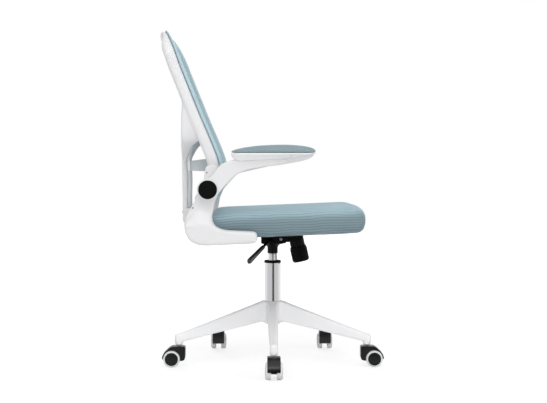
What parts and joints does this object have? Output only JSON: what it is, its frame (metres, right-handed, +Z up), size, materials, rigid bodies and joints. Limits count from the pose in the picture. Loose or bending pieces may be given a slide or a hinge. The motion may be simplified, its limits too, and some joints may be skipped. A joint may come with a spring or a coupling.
{
  "type": "office chair",
  "caption": "Office task chair with a mesh back, padded seat, flip-up padded arms, rocking mechanism, gas lift and a star base on twin-wheel casters.",
  "frame": {"origin": "on the swivel axis at floor level, which is the middle of the chair's footprint", "axes": "+X forward, +Y to the sitter's left, +Z up along the gas lift"},
  "size_m": [0.6628, 0.6687, 0.9796],
  "materials": {
    "white_plastic": "fine satin moulding",
    "black_plastic": "satin moulding",
    "black_steel": "powder coat",
    "chrome": "bright plate",
    "steel": "turned",
    "tyre": "soft tread, grey, with a black cap",
    "fabric": "grey-blue woven mesh over foam"
  },
  "bodies": {
    "base": {"star_base": "white_plastic", "stand_tube": "chrome", "tube_collar": "black_plastic"},
    "swivel": {"piston_rod": "steel", "thrust_bearing": "steel", "retaining_clip": "steel"},
    "lift": {"gas_cylinder": "chrome", "mechanism_housing": "black_steel", "tilt_pin": "steel"},
    "valve": {"valve_button": "black_plastic"},
    "rocker": {"lever_bush": "black_plastic"},
    "lever": {"lever_rod": "black_steel", "lever_grip": "black_plastic"},
    "seat": {"seat_plate": "black_steel", "tension_bolt": "steel", "tension_spring": "steel", "seat_pan": "black_plastic", "seat_cushion": "fabric", "side_bracket_right": "white_plastic", "side_bracket_left": "white_plastic", "back_frame": "white_plastic", "back_mesh": "fabric", "lumbar_bar": "white_plastic", "hinge_pin_right": "steel", "hinge_pin_left": "steel"},
    "knob": {"tension_knob": "black_plastic"},
    "arm_r": {"arm_right": "white_plastic", "arm_tray_right": "white_plastic", "arm_pad_right": "fabric", "hinge_cap_right": "black_plastic"},
    "arm_l": {"arm_left": "white_plastic", "arm_tray_left": "white_plastic", "arm_pad_left": "fabric", "hinge_cap_left": "black_plastic"},
    "caster_right": {"caster_hood_right": "black_plastic", "caster_stem_right": "steel", "caster_axle_right": "steel"},
    "wheel_right_1": {"wheel_right_1": "tyre"},
    "wheel_right_2": {"wheel_right_2": "tyre"},
    "caster_front": {"caster_hood_front": "black_plastic", "caster_stem_front": "steel", "caster_axle_front": "steel"},
    "wheel_front_1": {"wheel_front_1": "tyre"},
    "wheel_front_2": {"wheel_front_2": "tyre"},
    "caster_front_left": {"caster_hood_front_left": "black_plastic", "caster_stem_front_left": "steel", "caster_axle_front_left": "steel"},
    "wheel_front_left_1": {"wheel_front_left_1": "tyre"},
    "wheel_front_left_2": {"wheel_front_left_2": "tyre"},
    "caster_rear_left": {"caster_hood_rear_left": "black_plastic", "caster_stem_rear_left": "steel", "caster_axle_rear_left": "steel"},
    "wheel_rear_left_1": {"wheel_rear_left_1": "tyre"},
    "wheel_rear_left_2": {"wheel_rear_left_2": "tyre"},
    "caster_rear": {"caster_hood_rear": "black_plastic", "caster_stem_rear": "steel", "caster_axle_rear": "steel"},
    "wheel_rear_1": {"wheel_rear_1": "tyre"},
    "wheel_rear_2": {"wheel_rear_2": "tyre"}
  },
  "joints": [
    {"name": "seat_swivel", "type": "hinge", "parent": "base", "child": "swivel", "pos_m": [0, 0, 0.3], "axis": [0, 0, 1], "continuous": true},
    {"name": "seat_lift", "type": "slide", "parent": "swivel", "child": "lift", "axis": [0, 0, 1], "range_m": [0, 0.09]},
    {"name": "valve_press", "type": "slide", "parent": "lift", "child": "valve", "axis": [0, 0, -1], "range_m": [0, 0.005]},
    {"name": "height_lever", "type": "hinge", "parent": "lift", "child": "rocker", "pos_m": [-0.0068, -0.0445, 0.37012], "axis": [-0.9885, 0.1511, 0], "range_deg": [0, 5.2], "stiffness_Nm_per_rad": 1.2, "springref_deg": -6.88},
    {"name": "tilt_lock", "type": "slide", "parent": "rocker", "child": "lever", "axis": [-0.1511, -0.9885, 0], "range_m": [0, 0.012]},
    {"name": "seat_tilt", "type": "hinge", "parent": "lift", "child": "seat", "pos_m": [0.024, 0, 0.37312], "axis": [0, -1, 0], "range_deg": [0, 15], "stiffness_Nm_per_rad": 150, "springref_deg": -11.46, "deforming": ["tension_spring"]},
    {"name": "tension_turn", "type": "hinge", "parent": "seat", "child": "knob", "pos_m": [0.07603, 0, 0.34859], "axis": [-0.2181, 0, 0.9759], "range_deg": [-360, 360]},
    {"name": "arm_flip_right", "type": "hinge", "parent": "seat", "child": "arm_r", "pos_m": [-0.18299, -0.281, 0.52564], "axis": [0, -1, 0], "range_deg": [0, 90]},
    {"name": "arm_flip_left", "type": "hinge", "parent": "seat", "child": "arm_l", "pos_m": [-0.18299, 0.281, 0.52564], "axis": [0, -1, 0], "range_deg": [0, 90]},
    {"name": "caster_swivel_right", "type": "hinge", "parent": "base", "child": "caster_right", "pos_m": [0, -0.29, 0.06462], "axis": [0, 0, 1], "continuous": true},
    {"name": "wheel_turn_right_1", "type": "hinge", "parent": "caster_right", "child": "wheel_right_1", "pos_m": [0, -0.3115, 0.02462], "axis": [1, 0, 0], "continuous": true},
    {"name": "wheel_turn_right_2", "type": "hinge", "parent": "caster_right", "child": "wheel_right_2", "pos_m": [0, -0.3115, 0.02462], "axis": [1, 0, 0], "continuous": true},
    {"name": "caster_swivel_front", "type": "hinge", "parent": "base", "child": "caster_front", "pos_m": [0.27581, -0.08962, 0.06462], "axis": [0, 0, 1], "continuous": true},
    {"name": "wheel_turn_front_1", "type": "hinge", "parent": "caster_front", "child": "wheel_front_1", "pos_m": [0.29731, -0.08962, 0.02462], "axis": [0, 1, 0], "continuous": true},
    {"name": "wheel_turn_front_2", "type": "hinge", "parent": "caster_front", "child": "wheel_front_2", "pos_m": [0.29731, -0.08962, 0.02462], "axis": [0, 1, 0], "continuous": true},
    {"name": "caster_swivel_front_left", "type": "hinge", "parent": "base", "child": "caster_front_left", "pos_m": [0.17046, 0.23461, 0.06462], "axis": [0, 0, 1], "continuous": true},
    {"name": "wheel_turn_front_left_1", "type": "hinge", "parent": "caster_front_left", "child": "wheel_front_left_1", "pos_m": [0.17046, 0.25611, 0.02462], "axis": [-1, 0, 0], "continuous": true},
    {"name": "wheel_turn_front_left_2", "type": "hinge", "parent": "caster_front_left", "child": "wheel_front_left_2", "pos_m": [0.17046, 0.25611, 0.02462], "axis": [-1, 0, 0], "continuous": true},
    {"name": "caster_swivel_rear_left", "type": "hinge", "parent": "base", "child": "caster_rear_left", "pos_m": [-0.17046, 0.23461, 0.06462], "axis": [0, 0, 1], "continuous": true},
    {"name": "wheel_turn_rear_left_1", "type": "hinge", "parent": "caster_rear_left", "child": "wheel_rear_left_1", "pos_m": [-0.17046, 0.25611, 0.02462], "axis": [-1, 0, 0], "continuous": true},
    {"name": "wheel_turn_rear_left_2", "type": "hinge", "parent": "caster_rear_left", "child": "wheel_rear_left_2", "pos_m": [-0.17046, 0.25611, 0.02462], "axis": [-1, 0, 0], "continuous": true},
    {"name": "caster_swivel_rear", "type": "hinge", "parent": "base", "child": "caster_rear", "pos_m": [-0.27581, -0.08962, 0.06462], "axis": [0, 0, 1], "continuous": true},
    {"name": "wheel_turn_rear_1", "type": "hinge", "parent": "caster_rear", "child": "wheel_rear_1", "pos_m": [-0.29731, -0.08962, 0.02462], "axis": [0, -1, 0], "continuous": true},
    {"name": "wheel_turn_rear_2", "type": "hinge", "parent": "caster_rear", "child": "wheel_rear_2", "pos_m": [-0.29731, -0.08962, 0.02462], "axis": [0, -1, 0], "continuous": true}
  ],
  "couplings": [
    {"joint": "valve_press", "follows": "height_lever", "m_per_rad": 0.045}
  ]
}
